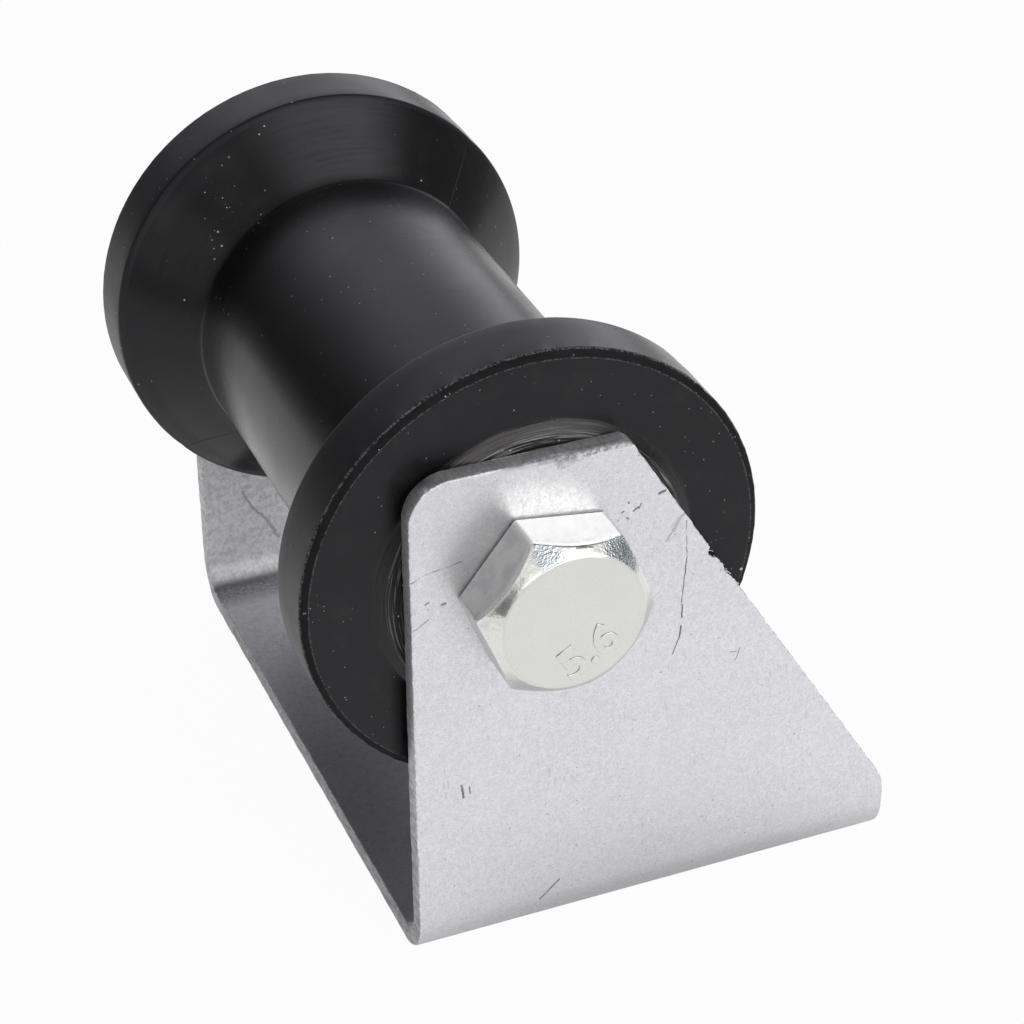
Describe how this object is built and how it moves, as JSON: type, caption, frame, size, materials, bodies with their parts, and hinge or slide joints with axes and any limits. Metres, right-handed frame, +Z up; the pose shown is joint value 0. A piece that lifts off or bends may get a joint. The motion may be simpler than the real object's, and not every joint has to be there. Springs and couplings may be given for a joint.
{
  "type": "boat trailer roller",
  "caption": "Flanged rubber keel roller turning on a hexagon bolt between the ears of a folded, zinc plated steel bracket, held by a lock nut.",
  "frame": {"origin": "centre of the underside of the bracket's base", "axes": "+Z up from the base; Y along the bolt, its head on the -Y side; +X across the ears, towards their slanted edges"},
  "size_m": [0.0918, 0.1397, 0.0978],
  "materials": {
    "plated_sheet": "zinc plated, matt, lightly pitted and scratched",
    "black_rubber": "moulded, satin",
    "plated_bolt": "zinc plated, bright",
    "white_nylon": "natural, matt"
  },
  "bodies": {
    "bracket": {"bracket": "plated_sheet", "bolt": "plated_bolt", "lock_nut": "plated_bolt", "nut_insert": "white_nylon"},
    "roller": {"roller": "black_rubber"}
  },
  "joints": [
    {"name": "roller_spin", "type": "hinge", "parent": "bracket", "child": "roller", "pos_m": [-0.01825, 0, 0.0628], "axis": [0, 1, 0], "continuous": true}
  ]
}
